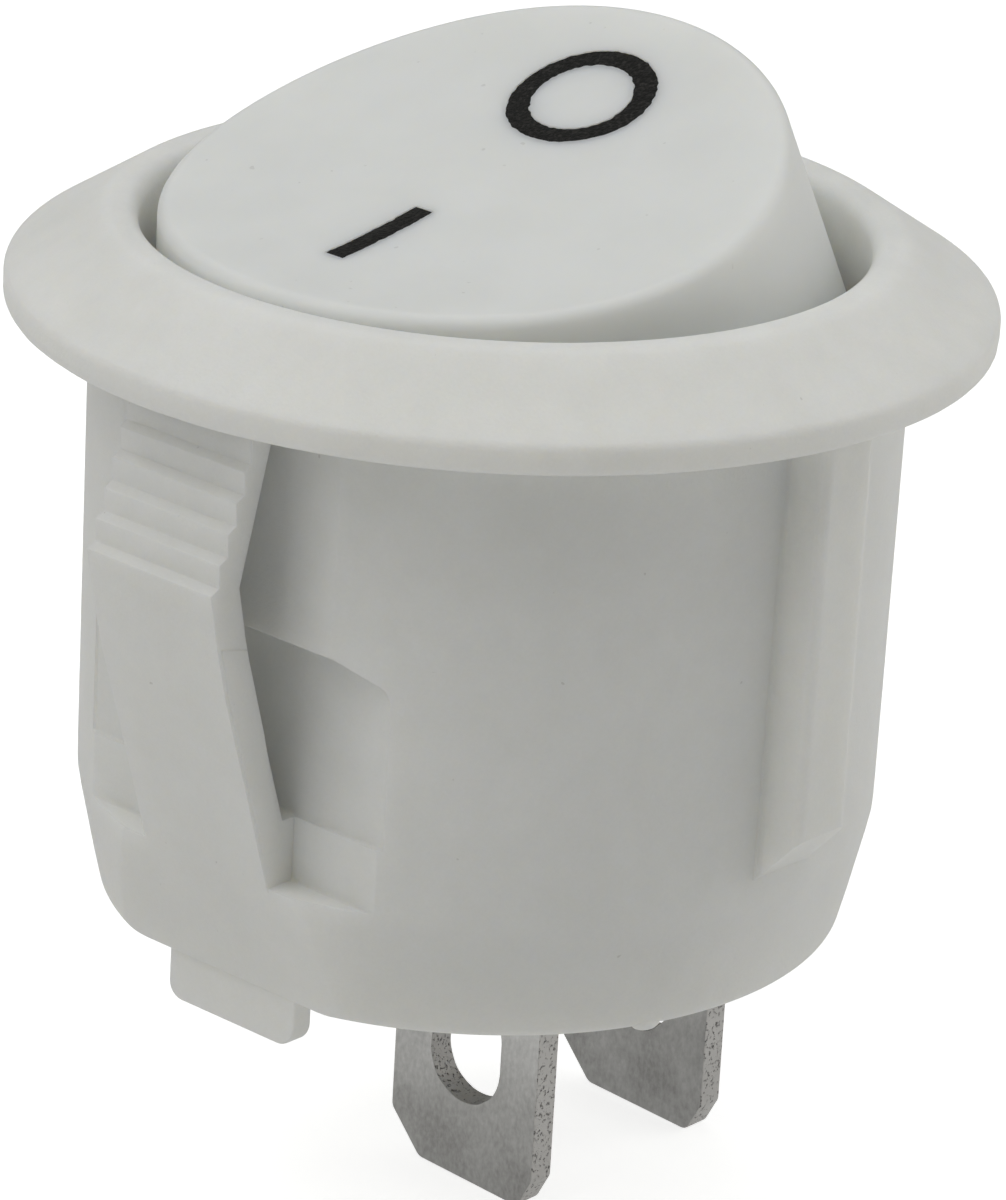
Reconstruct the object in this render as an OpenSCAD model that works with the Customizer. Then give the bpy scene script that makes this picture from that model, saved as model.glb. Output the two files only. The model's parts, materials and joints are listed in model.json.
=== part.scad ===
// Round panel rocker switch, single pole, with two blade terminals.
// Origin: on the barrel axis at the underside of the bezel, where the panel face lies.
// +Z points out of the panel, +X to the O end of the rocker; the rocker turns about Y.
// It is drawn with the I end pressed in, so its contacts are closed.

/* [Bezel] */
// Outer diameter of the bezel
bezel_d = 23.1; // [22.9:0.1:26]
// Height of the lip round the rocker above the panel
bezel_h = 2.13; // [1.9:0.01:2.4]
// Height of the bezel's rim above the panel
rim_h = 0.82; // [0.7:0.02:1]
// Diameter of the well that the rocker sits in
well_d = 16.96; // [16.9:0.02:17.1]
// Radius of the rounded lip
lip_r = 0.64; // [0.4:0.02:0.7]
// Radius of the rounded rim edge
edge_r = 0.3; // [0.2:0.02:0.34]

/* [Barrel] */
// Diameter of the barrel just under the bezel
barrel_d = 19.12; // [19.1:0.02:19.4]
// Depth of the barrel behind the panel
barrel_depth = 14.63; // [14.4:0.05:15.6]
// Draft of the barrel wall, in degrees
barrel_draft = 0.3; // [0.1:0.1:0.4]
// Depth at which the barrel starts to taper in
taper_start = 11.6; // [11.4:0.05:12.4]
// Angle of the taper at the bottom of the barrel
taper_angle = 13.9; // [8:0.1:20]
// Thickness of the floor
floor_t = 2.2; // [1.8:0.1:2.4]
// Distance from the axis to the flat behind each latch head
upper_flat = 8.95; // [8.9:0.01:9]
// Distance from the axis to the deeper flat beside each latch arm
lower_flat = 8.25; // [8.2:0.01:8.4]

/* [Latches and key] */
// Width of each latch
latch_w = 3.9; // [3:0.1:4.2]
// Reach of the latch knee from the barrel axis
latch_reach = 11.37; // [11.1:0.01:11.4]
// Depth of the latch knee below the bezel
knee_depth = 3.7; // [3.3:0.1:3.9]
// Number of steps on the latch head
latch_steps = 5; // [3:1:6]
// Width of the key rib
key_w = 1.75; // [1.4:0.05:2.2]
// Reach of the key rib from the barrel axis
key_reach = 10.6; // [10.3:0.05:10.8]

/* [Rocker] */
// Tilt of the rocker either side of level, in degrees
rocker_tilt = 15.5; // [13:0.1:15.6]
// Depth of the rocker's axle below the panel face
axle_depth = 0.97; // [0.9:0.01:1.1]
// Diameter of the rocker's upper edge
rocker_top_d = 14.38; // [13.8:0.02:14.4]
// Diameter of the rocker at its axle
rocker_base_d = 16.38; // [16:0.02:16.4]
// Height of the middle of the rocker's top above its axle
rocker_h = 4.45; // [4:0.05:4.5]
// Radius of the hollow in the rocker's top
hollow_r = 30; // [26:0.5:60]
// Wall thickness of the rocker
rocker_wall = 1.1; // [0.9:0.05:1.3]
// Outer diameter of the ring mark
ring_mark_d = 3.6; // [3:0.1:3.8]
// Length of the bar mark
bar_mark_l = 3; // [2.4:0.1:3.4]
// Line width of both marks
mark_line = 0.56; // [0.4:0.02:0.6]

/* [Contacts] */
// Width of each blade terminal
blade_w = 4.65; // [4.4:0.05:4.8]
// Thickness of each blade terminal
blade_t = 0.7; // [0.6:0.05:0.8]
// Depth of the terminal tips below the panel face
blade_tip = 22.35; // [21:0.05:24]
// Distance from the middle blade to the end blade
blade_pitch = 6.3; // [6.2:0.05:6.4]
// Thickness of the moving contact lever
lever_t = 0.6; // [0.5:0.05:0.65]
// Tilt of the lever either side of level, in degrees
lever_tilt = 6; // [5:0.1:6.2]

/* [Hidden] */
$fn = 96;

touch = 0.03;            // gap between two parts that only just meet
axle_fit = 0.05;         // radial running clearance of axles, plunger and lever
over = 1;                // how far a cutter runs past what it cuts

// Bezel and barrel
bezel_r = bezel_d / 2;
well_r = well_d / 2;
lip_c = [well_r + lip_r, bezel_h - lip_r];
rim_c = [bezel_r - edge_r, rim_h - edge_r];
bezel_slope = atan2(lip_c[1] - rim_c[1], rim_c[0] - lip_c[0]) + asin((lip_r - edge_r) / norm(rim_c - lip_c));
slope_n = [sin(bezel_slope), cos(bezel_slope)];
tuck = 0.001;            // the slope lies this much under its two round edges
rim_foot = 0.12;         // small bevel round the underside of the rim
barrel_r = barrel_d / 2;
taper_r = barrel_r - taper_start * tan(barrel_draft);
corner_r = 0.35;         // rounding of the barrel's bottom edge
corner_c = [taper_r - (barrel_depth - corner_r * (1 - sin(taper_angle)) - taper_start) * tan(taper_angle)
            - corner_r * cos(taper_angle), -(barrel_depth - corner_r)];
wall_t = 0.95;           // wall of the contact chamber
well_depth = 5.05;       // where the round well steps in to the contact chamber
chamber_x = lower_flat - wall_t;
chamber_top = -(well_depth - over);
floor_z = -(barrel_depth - floor_t);
ridge_z = -5.5;          // lower edge of the upper flat
ridge_drop = 0.35;       // fall of that edge towards the corner of the deeper flat
ridge_corner = 0.5;      // cut across that corner
ledge_z = -11.5;         // lower end of the deeper flat
seam_z = -9.93;          // below this line the deeper flat stands a little proud
seam_step = 0.12;

// Latches and key rib
arm_t = 0.9;             // thickness of a latch, measured level
head_top = 0.25;         // gap between a latch and the bezel above it
first_step = 1;          // depth of the highest step
first_reach = 10.45;     // reach of the highest step
step_bite = 0.26;        // how far each step cuts back
step_fall = 0.08;        // fall of each step's top towards its edge
knee_land = 0.15;        // upright band below the knee
bend_in = 0.6;           // the arm leans in more below a bend this far in from the knee
bend_drop = 2.75;        // and this far below it
arm_bend = [latch_reach - bend_in, -(knee_depth + bend_drop)];
root_x = 9.14;           // where the arm's front runs into the barrel
root_proud = 0.04;       // and how far it still stands out there
foot_flat = 8.14;        // distance from the axis to the flat under the arm, at the bottom
relief = 0.3;            // depth of the recess in the bezel above each latch head
relief_reach = (latch_reach + first_reach) / 2;
relief_gap = 0.15;
key_end = 9.9;           // depth at which the key's bevelled foot begins
foot_t = 0.65;
foot_drop = 1.27;        // how far the foot stands below the floor
foot_x = -(foot_flat + 0.06);
foot_r = 0.4;
gate_r = 0.35;           // stub left on the bottom edge by moulding
gate_x = -2.9;
gate_in = 0.2;

// Rocker, measured from its axle while it stands level
axle_z = -axle_depth;
axle_r = 1.1;
axle_reach = 9;
socket_end = axle_reach + 0.1;
skirt = 1.3;             // how far the rocker's wall goes below its axle
waist_z = -0.2;          // where the wall is widest
rocker_top_r = rocker_top_d / 2;
rocker_base_r = rocker_base_d / 2;
brim = hollow_r - sqrt(pow(hollow_r, 2) - pow(rocker_top_r, 2)) + touch;
cone_h = rocker_h + brim;
hollow_z = rocker_h + hollow_r;
stem_r = 2;
stem_end = -4.6;
mark_depth = 0.14;       // depth of the engraved marks
paint_gap = 0.03;        // how far the paint lies below the rocker's face
ring_x = 3.8;
bar_x = -3.2;

// Plunger, spring and lever
plunger_r = 1.2;
bore_r = plunger_r + axle_fit;
bore_top = 2.3;
dish_z = -8.6;           // top of the lever over its pivot
plunger_tip = axle_z - dish_z - 0.04;
plunger_top = -2.6;
peg_r = 0.5;
peg_h = 0.7;
wire_r = 0.16;
coil_r = bore_r - wire_r - 0.12;
coils = 6;
dish_r = 4.2;
dish_angle = 32;
bend_r = 1;              // inner radius of the bend between dish and arm
lever_w = 3.6;
row_y = -0.5;            // the row of blades and contacts stands this far off the middle
pivot_z = dish_z - lever_t - 0.15;
pivot_r = blade_t / 2;
dish_c = [0, dish_z + dish_r];
bend_c = dish_c + (dish_r + lever_t + bend_r) * [sin(dish_angle), -cos(dish_angle)];
arm_under = bend_c[1] + bend_r;
arm_top = arm_under + lever_t;
contact_x = 5;
closed_end = 6.7;
open_end = 5.4;

// Contacts: a domed rivet on the lever closes on a flat rivet on the end terminal
rivet_r = 1.1;
rivet_h = 0.25;
dome_r = 2.6;
dome_h = dome_r - sqrt(dome_r * dome_r - rivet_r * rivet_r);
shank_r = 0.45;
head_r = 0.6;            // radius and height of a rivet's upset end
head_h = 0.2;
dome_z = arm_under - rivet_h - dome_h + dome_r;       // centre of the dome's sphere
fixed_h = 0.4;
fixed_top = tilted_z([contact_x, dome_z], lever_tilt) - dome_r - touch;
shelf_z = fixed_top - fixed_h;
shelf_in = contact_x - rivet_r - 0.2;
rest_r = 0.6;
rest_x = -(open_end - 0.7);
rest_z = tilted_z([rest_x, arm_under - touch - rest_r / cos(lever_tilt)], -lever_tilt);

// Blade terminals
tip_bevel = 1;
bevel_rise = 1.2;        // height of the bevels at the tip
hole_r = 1.12;
hole_z = -19.1;
hole_rise = 0.8;         // the solder hole is a short slot
ear_w = (blade_w - lever_w) / 2 - 0.15;
ear_top = dish_z + 0.3;

// Height of a point on the lever once the lever has tipped about its pivot
function tilted_z(p, a) = pivot_z - p[0] * sin(a) + (p[1] - pivot_z) * cos(a);

// Turns a child about the Y axis through [0, z]
module about_y(angle, z) {
    translate([0, 0, z]) rotate([0, angle, 0]) translate([0, 0, -z]) children();
}

// Extrudes an XZ outline along Y, centred
module along_y(width) {
    translate([0, width / 2, 0]) rotate([90, 0, 0]) linear_extrude(width) children();
}

// Section of the bezel and barrel as one solid of revolution
module shell_section() {
    lip_t = lip_c + (lip_r - tuck) * slope_n;
    rim_t = rim_c + (edge_r - tuck) * slope_n;
    corner_t = corner_c + corner_r * [cos(taper_angle), -sin(taper_angle)];
    polygon([[0, lip_c[1]], [well_r, lip_c[1]], lip_t, rim_t, [bezel_r, rim_c[1]],
             [bezel_r, rim_foot], [bezel_r - rim_foot, 0], [barrel_r, 0], [taper_r, -taper_start],
             corner_t, [corner_c[0], -barrel_depth], [0, -barrel_depth]]);
    translate(lip_c) circle(lip_r);
    translate(rim_c) circle(edge_r);
    translate(corner_c) circle(corner_r);
}

// One latch arm on the -X side: stepped head above the knee, sloping arm below it
module latch() {
    rise = (knee_depth - first_step) / (latch_steps - 1);
    reach = (latch_reach - first_reach) / (latch_steps - 1);
    head_x = first_reach - step_bite;
    seam_x = root_x + (arm_bend[0] - root_x) * (seam_z - ledge_z) / (arm_bend[1] - ledge_z);
    steps = [for (i = [0 : latch_steps - 1]) each [
        [-(head_x + i * reach), -(first_step + i * rise)],
        [-(first_reach + i * reach), -(first_step + i * rise + step_fall)]]];
    along_y(latch_w)
        polygon(concat([[-head_x, -head_top]], steps,
                       [[-latch_reach, -knee_depth - knee_land], [-arm_bend[0], arm_bend[1]],
                        [-root_x - root_proud, ledge_z], [over / 2 - root_x, ledge_z - over],
                        [over - root_x, ledge_z - over],
                        [over - lower_flat, seam_z], [arm_t - seam_x, seam_z],
                        [arm_t - arm_bend[0], arm_bend[1]],
                        [arm_t - latch_reach, -knee_depth - knee_land], [arm_t - first_reach, -head_top]]));
}

// Flats cut in the barrel so that a latch can bend inwards
module latch_pocket() {
    side = barrel_r + over;
    corner_y = sqrt(pow(barrel_r, 2) - pow(lower_flat, 2)) + 0.1;
    ridge_y = sqrt(pow(barrel_r, 2) - pow(upper_flat, 2));
    ridge = [[corner_y, ridge_z - ridge_drop - ridge_corner],
             [corner_y - ridge_corner, ridge_z - ridge_drop], [ridge_y, ridge_z]];
    reversed = [for (i = [len(ridge) - 1 : -1 : 0]) ridge[i]];
    translate([-side - upper_flat, -side, ridge_z - ridge_drop])
        cube([side, 2 * side, ridge_drop - ridge_z]);
    for (face = [[lower_flat, seam_z], [lower_flat + seam_step, ledge_z]])
        translate([-face[0], 0, 0]) rotate([90, 0, -90]) linear_extrude(side)
            polygon(concat([[-corner_y, face[1]], [corner_y, face[1]]],
                           [for (side = [1, -1], p = side > 0 ? ridge : reversed) [side * p[0], p[1]]]));
    // the arm's slope runs on below the pocket as a flat down to the bottom
    along_y(2 * side) polygon([[-root_x, ledge_z], [-side, ledge_z], [-side, -barrel_depth - over],
                               [-foot_flat, -barrel_depth - over], [-foot_flat, -barrel_depth]]);
}

module housing_body() {
    difference() {
        rotate_extrude() shell_section();
        for (turn = [0, 180]) rotate(turn) latch_pocket();
    }
    for (turn = [0, 180]) rotate(turn) latch();
    // key rib with a bevelled foot, on the -Y side
    translate([-key_w / 2, 0, 0]) rotate([90, 0, 90]) linear_extrude(key_w)
        polygon([[-key_reach, 0], [-key_reach, -key_end], [-barrel_r + 0.15, -key_end - 1.3],
                 [-well_r - 0.3, -key_end - 1.3], [-well_r - 0.3, 0]]);
    // locating foot below the -X latch
    translate([foot_x, 0, -barrel_depth]) rotate([90, 0, 90]) linear_extrude(foot_t) foot_outline();
    // gate mark left on the bottom edge by moulding
    translate([gate_x, -(corner_c[0] - gate_in), -barrel_depth + gate_r / 3]) sphere(gate_r);
}

module foot_outline() {
    half = latch_w / 2;
    polygon([[-half, foot_r], [-half, foot_r - foot_drop], [foot_r - half, -foot_drop],
             [half - foot_r, -foot_drop], [half, foot_r - foot_drop], [half, foot_r]]);
    for (y = [foot_r - half, half - foot_r]) translate([y, foot_r - foot_drop]) circle(foot_r);
}

module housing() {
    color("whitesmoke") {
        difference() {
            housing_body();
            // round well for the rocker, open at the top
            translate([0, 0, -well_depth]) cylinder(r = well_r, h = well_depth + bezel_h + over);
            // contact chamber under it
            intersection() {
                translate([0, 0, floor_z]) cylinder(r = well_r, h = chamber_top - floor_z);
                translate([-chamber_x, -well_r, floor_z])
                    cube([2 * chamber_x, 2 * well_r, chamber_top - floor_z]);
            }
            // blind sockets for the rocker's axle stubs
            translate([0, 0, axle_z]) rotate([90, 0, 0])
                cylinder(r = axle_r + axle_fit, h = 2 * socket_end, center = true);
            // slots that the blades are pressed through
            for (x = [0, blade_pitch])
                translate([x - blade_t / 2, row_y - blade_w / 2, -barrel_depth - over])
                    cube([blade_t, blade_w, floor_t + 2 * over]);
            // recesses in the bezel above the latch heads
            for (turn = [0, 180]) rotate(turn)
                translate([-relief_reach, -latch_w / 2 - relief_gap, -head_top / 2])
                    cube([relief_reach - well_r - wall_t, latch_w + 2 * relief_gap, relief + head_top / 2]);
        }
        lever_rest();
    }
}

// Post in the chamber that the lever lies on while the contacts are open
module lever_rest() {
    translate([rest_x, row_y, rest_z]) rotate([90, 0, 0])
        cylinder(r = rest_r, h = lever_w, center = true);
    translate([rest_x - rest_r, row_y - lever_w / 2, floor_z])
        cube([2 * rest_r, lever_w, rest_z - floor_z]);
}

// Everything below in the rocker group is drawn level and then tipped to its rest position
module rocker_pose() {
    about_y(-rocker_tilt, axle_z) translate([0, 0, axle_z]) children();
}

module rocker_cone(inset) {
    bottom = inset > 0 ? -skirt - over : -skirt;
    rotate_extrude()
        polygon([[0, bottom], [rocker_base_r - inset - 0.1, bottom], [rocker_base_r - inset, waist_z],
                 [rocker_top_r - inset, cone_h], [0, cone_h]]);
}

// Round bar along Y whose underside is the hollow top face of the rocker, moved down by drop
module top_bar(drop) {
    translate([0, 0, hollow_z]) rotate([90, 0, 0])
        cylinder(r = hollow_r + drop, h = 2 * bezel_d, center = true, $fn = 240);
}

module ring_mark_outline() {
    translate([ring_x, 0]) difference() {
        circle(d = ring_mark_d);
        circle(d = ring_mark_d - 2 * mark_line);
    }
}

module bar_mark_outline() {
    translate([bar_x - bar_mark_l / 2, -mark_line / 2]) square([bar_mark_l, mark_line]);
}

// Slice of an outline that lies between two depths under the hollow top face
module engraved(from, to) {
    intersection() {
        linear_extrude(2 * rocker_h) children();
        difference() {
            top_bar(to);
            top_bar(from);
        }
    }
}

module rocker() {
    web_t = 1;
    web_reach = rocker_base_r - rocker_wall / 2;
    color("white") rocker_pose() {
        difference() {
            union() {
                difference() {
                    union() {
                        rocker_cone(0);
                        rotate([90, 0, 0]) cylinder(r = axle_r, h = 2 * axle_reach, center = true);
                    }
                    difference() {
                        rocker_cone(rocker_wall);
                        top_bar(rocker_wall);
                    }
                }
                // stem that carries the plunger, tied to the wall by two webs
                translate([0, 0, stem_end]) cylinder(r = stem_r, h = rocker_h - 0.3 - stem_end);
                translate([-web_t / 2, -web_reach, -skirt]) cube([web_t, 2 * web_reach, rocker_h]);
            }
            top_bar(0);
            translate([0, 0, stem_end - over]) cylinder(r = bore_r, h = bore_top - stem_end + over);
            engraved(-over, mark_depth) ring_mark_outline();
            engraved(-over, mark_depth) bar_mark_outline();
        }
    }
}

module off_mark() {
    color("black") rocker_pose() engraved(paint_gap, mark_depth) ring_mark_outline();
}

module on_mark() {
    color("black") rocker_pose() engraved(paint_gap, mark_depth) bar_mark_outline();
}

// Round-nosed pin that slides in the stem; its peg centres the spring
module plunger() {
    color("ivory") rocker_pose() rotate_extrude() {
        intersection() {
            translate([0, plunger_r - plunger_tip]) circle(plunger_r);
            translate([0, -plunger_tip]) square([plunger_r, plunger_r]);
        }
        translate([0, plunger_r - plunger_tip]) square([plunger_r, plunger_top + plunger_tip - plunger_r]);
        translate([0, plunger_top]) square([peg_r, peg_h]);
    }
}

// Coil spring swept as rings of points along a helix
module plunger_spring() {
    sides = 8;
    per_turn = 18;
    steps = per_turn * coils;
    rise = (bore_top - plunger_top - 2 * (wire_r + touch)) / steps;
    points = [for (i = [0 : steps], j = [0 : sides - 1])
        let (turn = 360 * i / per_turn, side = 360 * j / sides, r = coil_r + wire_r * cos(side))
            [r * cos(turn), r * sin(turn), i * rise + wire_r * sin(side)]];
    wall = [for (i = [0 : steps - 1], j = [0 : sides - 1]) let (next = (j + 1) % sides)
        [i * sides + j, i * sides + next, (i + 1) * sides + next, (i + 1) * sides + j]];
    ends = [[for (j = [sides - 1 : -1 : 0]) j], [for (j = [0 : sides - 1]) steps * sides + j]];
    color("silver") rocker_pose() translate([0, 0, plunger_top + wire_r + touch])
        polyhedron(points, concat(wall, ends));
}

// The lever group is drawn level and tipped so that its +X arm is down
module lever_pose() {
    about_y(lever_tilt, pivot_z) translate([0, row_y, 0]) children();
}

// Bent strip: a dish over the pivot, a bend each side and two flat arms
module lever_section() {
    far = 2 * (bend_r + lever_t);
    difference() {
        translate(dish_c) difference() {
            circle(dish_r + lever_t);
            circle(dish_r);
        }
        wedge_keep_out();
    }
    for (side = [-1, 1]) scale([side, 1]) {
        translate(bend_c) intersection() {
            difference() {
                circle(bend_r + lever_t);
                circle(bend_r);
            }
            polygon([[0, 0], [0, far], [-far * tan(dish_angle), far]]);
        }
    }
    translate([bend_c[0], arm_under]) square([closed_end - bend_c[0], lever_t]);
    translate([-open_end, arm_under]) square([open_end - bend_c[0], lever_t]);
}

// All of the dish's circle except the sector that stays as the dish
module wedge_keep_out() {
    far = 3 * dish_r;
    translate(dish_c) polygon([[0, 0], far * [sin(dish_angle), -cos(dish_angle)], [far, far],
                               [-far, far], far * [-sin(dish_angle), -cos(dish_angle)]]);
}

module lever() {
    color("goldenrod") lever_pose() difference() {
        along_y(lever_w) lever_section();
        translate([0, 0, pivot_z]) rotate([90, 0, 0])
            cylinder(r = pivot_r + axle_fit, h = lever_w + 2 * over, center = true);
        translate([contact_x, 0, arm_under - over]) cylinder(r = shank_r, h = lever_t + 2 * over);
    }
}

// Domed rivet under the lever's +X arm, headed over on top
module moving_contact() {
    color("silver") lever_pose() translate([contact_x, 0, 0]) rotate_extrude() {
        translate([0, arm_under - rivet_h]) square([shank_r, rivet_h + lever_t + head_h]);
        translate([0, arm_top]) square([head_r, head_h]);
        intersection() {
            translate([0, dome_z]) circle(dome_r);
            translate([0, dome_z - dome_r]) square([rivet_r, dome_h + rivet_h]);
        }
    }
}

module fixed_contact() {
    color("silver") translate([contact_x, row_y, 0]) rotate_extrude() {
        head_z = shelf_z - blade_t - head_h;
        translate([0, shelf_z]) square([rivet_r, fixed_h]);
        translate([0, head_z]) square([shank_r, head_h + blade_t + fixed_h]);
        translate([0, head_z]) square([head_r, head_h]);
    }
}

// Outline of a blade across its width, with bevelled tip corners and the solder slot
module blade_outline(top) {
    half = blade_w / 2;
    difference() {
        polygon([[-half, top], [-half, bevel_rise - blade_tip], [tip_bevel - half, -blade_tip],
                 [half - tip_bevel, -blade_tip], [half, bevel_rise - blade_tip], [half, top]]);
        for (z = [hole_z, hole_z + hole_rise]) translate([0, z]) circle(hole_r);
        translate([-hole_r, hole_z]) square([2 * hole_r, hole_rise]);
    }
}

module blade(top) {
    translate([-blade_t / 2, 0, 0]) rotate([90, 0, 90]) linear_extrude(blade_t) blade_outline(top);
}

// Middle blade; its rounded upper end between two ears is the lever's pivot
module common_terminal() {
    gap_w = blade_w - 2 * ear_w;
    color("darkgray") translate([0, row_y, 0]) {
        difference() {
            blade(ear_top);
            translate([-blade_t, -gap_w / 2, pivot_z]) cube([2 * blade_t, gap_w, over - pivot_z]);
        }
        translate([0, 0, pivot_z]) rotate([90, 0, 0]) cylinder(r = pivot_r, h = gap_w, center = true);
    }
}

// End blade, folded over at the top into a shelf that holds the fixed contact
module end_terminal() {
    fold_r = 0.3;
    fold_c = [blade_pitch - blade_t / 2 - fold_r, shelf_z - blade_t - fold_r];
    color("darkgray") translate([0, row_y, 0]) difference() {
        union() {
            translate([blade_pitch, 0, 0]) blade(fold_c[1]);
            along_y(blade_w) {
                translate(fold_c) intersection() {
                    difference() {
                        circle(fold_r + blade_t);
                        circle(fold_r);
                    }
                    square(2 * blade_t + fold_r);
                }
                translate([shelf_in, shelf_z - blade_t]) square([fold_c[0] - shelf_in, blade_t]);
            }
        }
        translate([contact_x, 0, shelf_z - blade_t - over]) cylinder(r = shank_r, h = blade_t + 2 * over);
    }
}

housing();
rocker();
off_mark();
on_mark();
plunger();
plunger_spring();
lever();
moving_contact();
fixed_contact();
common_terminal();
end_terminal();
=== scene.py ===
"""Round panel rocker switch: latched housing, tilting rocker, lever contacts and blade terminals."""
import json
import math

import bmesh
import bpy
from mathutils import Matrix, Vector, noise


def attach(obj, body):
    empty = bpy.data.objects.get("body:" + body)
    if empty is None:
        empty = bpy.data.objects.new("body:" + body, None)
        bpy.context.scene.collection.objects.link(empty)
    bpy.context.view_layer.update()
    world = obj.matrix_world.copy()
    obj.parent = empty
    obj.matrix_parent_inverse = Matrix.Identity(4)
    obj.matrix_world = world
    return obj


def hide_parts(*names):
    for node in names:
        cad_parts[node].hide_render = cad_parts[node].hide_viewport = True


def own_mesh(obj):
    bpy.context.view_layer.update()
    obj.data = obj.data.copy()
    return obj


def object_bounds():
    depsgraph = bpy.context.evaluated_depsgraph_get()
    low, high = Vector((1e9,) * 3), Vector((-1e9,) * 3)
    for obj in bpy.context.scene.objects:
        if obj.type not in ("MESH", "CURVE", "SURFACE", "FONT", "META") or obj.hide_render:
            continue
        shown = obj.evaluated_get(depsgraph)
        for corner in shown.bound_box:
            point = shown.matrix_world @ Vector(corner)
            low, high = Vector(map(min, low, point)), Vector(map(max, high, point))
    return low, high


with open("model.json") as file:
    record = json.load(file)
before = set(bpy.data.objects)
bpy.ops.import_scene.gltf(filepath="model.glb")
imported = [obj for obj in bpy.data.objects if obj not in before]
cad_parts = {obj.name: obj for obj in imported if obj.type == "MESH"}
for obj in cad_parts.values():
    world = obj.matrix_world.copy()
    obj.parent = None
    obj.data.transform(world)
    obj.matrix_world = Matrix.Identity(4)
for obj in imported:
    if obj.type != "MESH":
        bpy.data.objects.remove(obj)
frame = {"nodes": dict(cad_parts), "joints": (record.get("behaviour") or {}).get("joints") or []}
cad_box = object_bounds()

# Camera. It stands between the key rib and the latch of the I side, a little above the bezel,
# and looks down on the switch with a long lens.
eye = Vector((-0.10462, -0.09154, 0.04673))
camera_back = Vector((-0.7034, -0.6114, 0.3625)).normalized()
camera_right = Vector((0.6706, -0.7399, 0.0532))
camera_right = (camera_right - camera_right.dot(camera_back) * camera_back).normalized()
camera_up = camera_back.cross(camera_right)
camera = bpy.data.objects.new("camera", bpy.data.cameras.new("camera"))
camera.data.lens = 189.34
camera.data.sensor_width = 36
camera.data.shift_x = -0.00125
camera.data.clip_start, camera.data.clip_end = 0.005, 10
camera_turn = Matrix((camera_right, camera_up, camera_back)).transposed().to_4x4()
camera.matrix_world = Matrix.Translation(eye) @ camera_turn
bpy.context.scene.collection.objects.link(camera)
bpy.context.scene.camera = camera


# Housing. Bezel, barrel, latches, key rib and foot are one moulding in off-white nylon.
# The mould leaves a fine matt grain, faint flow waves and a few dark specks.
class Wire:
    """A socket of a material. Arithmetic on it adds Math nodes, and node() adds any other node."""

    def __init__(self, tree, socket):
        self.tree, self.socket = tree, socket

    def node(self, kind, settings=None, sockets=None, out=0):
        made = self.tree.nodes.new("ShaderNode" + kind)
        for name, value in (settings or {}).items():
            setattr(made, name, value)
        for name, value in (sockets or {}).items():
            if isinstance(value, Wire):
                self.tree.links.new(value.socket, made.inputs[name])
            else:
                made.inputs[name].default_value = value
        return Wire(self.tree, made.outputs[out])

    def math(self, operation, first, second):
        return self.node("Math", {"operation": operation}, {0: first, 1: second})

    def __add__(self, other):
        return self.math("ADD", self, other)

    def __rsub__(self, other):
        return self.math("SUBTRACT", other, self)

    def __mul__(self, other):
        return self.math("MULTIPLY", self, other)

    def step(self, low, high):
        """0 below low and 1 above high, smooth between."""
        return self.node("MapRange", {"interpolation_type": "SMOOTHSTEP"},
                         {"Value": self, "From Min": low, "From Max": high})

    def blend(self, first, second):
        """Mixes two colours, with this socket as the share of the second."""
        return self.node("Mix", {"data_type": "RGBA"}, {0: self, 6: first, 7: second}, out=2)

    def part(self, index):
        """X, Y or Z of this vector, by index."""
        return self.node("SeparateXYZ", {}, {0: self}, out=index)

    def grain(self, size, detail=2.0, roughness=0.5):
        """Noise over this position, with features of about this size in metres."""
        return self.node("TexNoise", {}, {"Vector": self, "Scale": 1 / size, "Detail": detail,
                                          "Roughness": roughness})


class Finish:
    """A material on one Principled shader, laid out over the piece's own position."""

    def __init__(self, name, **constants):
        self.material = bpy.data.materials.new(name)
        self.material.use_nodes = True
        tree = self.material.node_tree
        self.shader = tree.nodes["Principled BSDF"]
        self.place = Wire(tree, tree.nodes.new("ShaderNodeTexCoord").outputs["Object"])
        for socket, value in constants.items():
            self.shader.inputs[socket.replace("_", " ")].default_value = value

    def set(self, socket, wire):
        self.place.tree.links.new(wire.socket, self.shader.inputs[socket])

    def relief(self, height, depth, strength=1.0, edge=0.0):
        """Bump from a height wire, over edges rounded to the given radius."""
        sockets = {"Height": height, "Distance": depth, "Strength": strength}
        if edge:
            sockets["Normal"] = self.place.node("Bevel", {"samples": 6}, {"Radius": edge})
        self.set("Normal", self.place.node("Bump", {}, sockets))

    def cover(self, *pieces):
        for piece in pieces:
            piece.data.materials.clear()
            piece.data.materials.append(self.material)


def placed(name, mesh):
    """Object made from a bmesh, linked to the scene, with its normals outward."""
    bmesh.ops.recalc_face_normals(mesh, faces=mesh.faces)
    made = bpy.data.objects.new(name, bpy.data.meshes.new(name))
    mesh.to_mesh(made.data)
    mesh.free()
    bpy.context.scene.collection.objects.link(made)
    return made


def spun(name, sections, first=None, last=None):
    """Closed mesh through equal sections round an axis, with a pole at each given end."""
    mesh = bmesh.new()
    loops = [[mesh.verts.new(p) for p in section] for section in sections]
    count, length = len(loops), len(loops[0])
    for i in range(count):
        here, there = loops[i], loops[(i + 1) % count]
        for j in range(length if first is None else length - 1):
            k = (j + 1) % length
            mesh.faces.new((here[j], here[k], there[k], there[j]))
    if first is not None:
        for pole, index in ((mesh.verts.new(first), 0), (mesh.verts.new(last), -1)):
            for i in range(count):
                mesh.faces.new((pole, loops[i][index], loops[(i + 1) % count][index]))
    return placed(name, mesh)


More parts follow.
